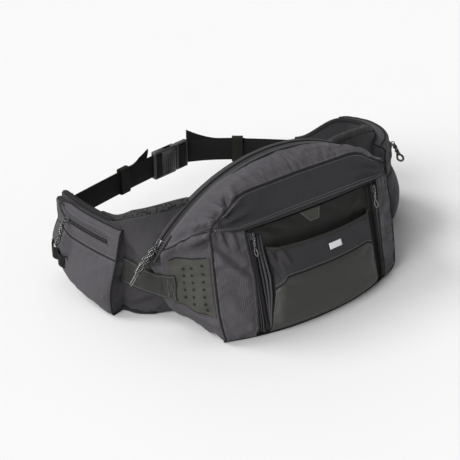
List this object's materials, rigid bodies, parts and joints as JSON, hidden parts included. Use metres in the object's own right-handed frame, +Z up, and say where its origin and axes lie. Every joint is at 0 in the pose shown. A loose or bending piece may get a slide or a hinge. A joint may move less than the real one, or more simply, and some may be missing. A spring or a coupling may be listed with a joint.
{
  "type": "waist pack",
  "caption": "Waist pack with an arched main zip, a fold-down front stash panel, padded wings with zipped hip pockets and a webbing belt closed by a side-release buckle.",
  "frame": {"origin": "the middle of the flat base of the pouch, which it stands on; the back panel is 78 mm behind it", "axes": "+Z up, -Y out through the pouch front, +Y towards the wearer and the buckle, +X to the viewer's right when looking at the front"},
  "size_m": [0.569, 0.4126, 0.2129],
  "materials": {
    "coated_fabric": "coated, faint sheen",
    "cord": "flecked braided cord",
    "elastic": "ribbed elastic, matt",
    "foam": "foam, never seen",
    "laminate": "perforated laminate, matt",
    "moulded": "moulded acetal, fine texture",
    "pack_fabric": "woven ripstop, matt",
    "reflective": "pale heat-sealed film",
    "sheet_plastic": "plain sheet, never seen",
    "slider_metal": "coated die casting",
    "spacer_mesh": "open spacer mesh",
    "webbing": "woven webbing",
    "zip_tape": "knitted tape with a coil"
  },
  "bodies": {
    "pouch": {"back_mesh": "spacer_mesh", "band_end_left": "elastic", "band_end_right": "elastic", "frame_sheet": "sheet_plastic", "front_zip_left": "zip_tape", "front_zip_right": "zip_tape", "inner_organiser": "pack_fabric", "lumbar_pad_left": "foam", "lumbar_pad_right": "foam", "main_shell": "pack_fabric", "main_zip": "zip_tape", "perforated_panel_left": "laminate", "perforated_panel_right": "laminate", "ribbed_gusset_left": "pack_fabric", "ribbed_gusset_right": "pack_fabric", "top_front_panel": "pack_fabric"},
    "front_panel": {"front_liner": "coated_fabric", "laminated_tab": "laminate", "stash_lower_panel": "coated_fabric", "stash_upper_band": "pack_fabric", "stash_binding": "elastic", "reflective_bar": "reflective"},
    "left_wing": {"wing_left": "pack_fabric", "hip_pocket_left": "pack_fabric", "hip_zip_left": "zip_tape", "gear_loop_left": "webbing", "compression_band_left": "elastic", "belt_strap_left": "webbing", "strap_tail_left": "webbing", "buckle_female": "moulded"},
    "right_wing": {"wing_right": "pack_fabric", "hip_pocket_right": "pack_fabric", "hip_zip_right": "zip_tape", "compression_band_right": "elastic", "belt_strap_right": "webbing", "strap_tail_right": "webbing", "buckle_male": "moulded"},
    "front_pull_left": {"front_pull_left": "cord"},
    "front_pull_right": {"front_pull_right": "cord"},
    "front_slider_left": {"front_slider_left": "slider_metal"},
    "front_slider_right": {"front_slider_right": "slider_metal"},
    "hip_pull_left": {"hip_pull_left": "cord"},
    "hip_pull_right": {"hip_pull_right": "cord"},
    "hip_slider_left": {"hip_slider_left": "slider_metal"},
    "hip_slider_right": {"hip_slider_right": "slider_metal"},
    "keeper_left": {"keeper_left": "elastic"},
    "keeper_right": {"keeper_right": "elastic"},
    "main_pull_lower": {"main_pull_lower": "cord"},
    "main_pull_upper": {"main_pull_upper": "cord"},
    "main_slider_lower": {"main_slider_lower": "slider_metal"},
    "main_slider_upper": {"main_slider_upper": "slider_metal"},
    "prong_lower": {"prong_lower": "moulded"},
    "prong_upper": {"prong_upper": "moulded"}
  },
  "joints": [
    {"name": "front_panel_fold", "type": "hinge", "parent": "pouch", "child": "front_panel", "pos_m": [0, -0.062, 0.009], "axis": [1, 0, 0], "range_deg": [0, 40]},
    {"name": "left_wing_swing", "type": "hinge", "parent": "pouch", "child": "left_wing", "pos_m": [-0.195, 0.073, 0.085], "axis": [0, 0, 1], "range_deg": [0, 24]},
    {"name": "right_wing_swing", "type": "hinge", "parent": "pouch", "child": "right_wing", "pos_m": [0.195, 0.073, 0.085], "axis": [0, 0, -1], "range_deg": [0, 38]},
    {"name": "prong_upper_press", "type": "hinge", "parent": "right_wing", "child": "prong_upper", "pos_m": [0.0179, 0.32639, 0.099], "axis": [0.1392, -0.9903, 0], "range_deg": [0, 6]},
    {"name": "prong_lower_press", "type": "hinge", "parent": "right_wing", "child": "prong_lower", "pos_m": [0.0179, 0.32639, 0.071], "axis": [-0.1392, 0.9903, 0], "range_deg": [0, 6]},
    {"name": "main_slider_upper_travel", "type": "hinge", "parent": "pouch", "child": "main_slider_upper", "pos_m": [0, 0.056, -0.043], "axis": [0, 1, 0], "range_deg": [0, 98]},
    {"name": "main_slider_lower_travel", "type": "hinge", "parent": "pouch", "child": "main_slider_lower", "pos_m": [0, 0.056, -0.043], "axis": [0, 1, 0], "range_deg": [-0.5, 1]},
    {"name": "main_pull_upper_lift", "type": "hinge", "parent": "main_slider_upper", "child": "main_pull_upper", "pos_m": [-0.20471, 0.0528, 0.12716], "axis": [0, 1, 0], "range_deg": [0, 120]},
    {"name": "main_pull_lower_lift", "type": "hinge", "parent": "main_slider_lower", "child": "main_pull_lower", "pos_m": [-0.21383, 0.0592, 0.11132], "axis": [0, 1, 0], "range_deg": [0, 120]},
    {"name": "front_slider_left_travel", "type": "slide", "parent": "pouch", "child": "front_slider_left", "axis": [0, -0.3095, -0.9509], "range_m": [0, 0.105]},
    {"name": "front_pull_left_lift", "type": "hinge", "parent": "front_slider_left", "child": "front_pull_left", "pos_m": [-0.09725, -0.0279, 0.141], "axis": [-1, 0, 0], "range_deg": [0, 150]},
    {"name": "front_slider_right_travel", "type": "slide", "parent": "pouch", "child": "front_slider_right", "axis": [0, -0.2726, -0.9621], "range_m": [0, 0.105]},
    {"name": "front_pull_right_lift", "type": "hinge", "parent": "front_slider_right", "child": "front_pull_right", "pos_m": [0.12425, -0.02541, 0.141], "axis": [-1, 0, 0], "range_deg": [0, 150]},
    {"name": "hip_slider_left_travel", "type": "hinge", "parent": "left_wing", "child": "hip_slider_left", "pos_m": [0.35071, 0.2516, 0.106], "axis": [0, 0, 1], "range_deg": [-2, 7.5]},
    {"name": "hip_slider_right_travel", "type": "hinge", "parent": "right_wing", "child": "hip_slider_right", "pos_m": [0.21195, 0.14288, 0.109], "axis": [0, 0, 1], "range_deg": [-20, 60]},
    {"name": "hip_pull_left_lift", "type": "hinge", "parent": "hip_slider_left", "child": "hip_pull_left", "pos_m": [-0.25413, 0.21831, 0.105], "axis": [-0.055, 0.9985, 0], "range_deg": [0, 100]},
    {"name": "keeper_left_slide", "type": "slide", "parent": "left_wing", "child": "keeper_left", "axis": [0.9759, 0.2181, 0], "range_m": [-0.01, 0.01]},
    {"name": "hip_pull_right_lift", "type": "hinge", "parent": "hip_slider_right", "child": "hip_pull_right", "pos_m": [0.28411, 0.11274, 0.108], "axis": [-0.3854, -0.9228, 0], "range_deg": [0, 100]},
    {"name": "keeper_right_slide", "type": "slide", "parent": "right_wing", "child": "keeper_right", "axis": [-0.7916, 0.611, 0], "range_m": [-0.01, 0.01]}
  ],
  "couplings": [
    {"joint": "right_wing_swing", "follows": "left_wing_swing", "ratio": 1.57},
    {"joint": "prong_lower_press", "follows": "prong_upper_press", "ratio": 1},
    {"joint": "front_slider_left_travel", "follows": "front_panel_fold", "m_per_rad": 0.15},
    {"joint": "front_slider_right_travel", "follows": "front_panel_fold", "m_per_rad": 0.15}
  ]
}
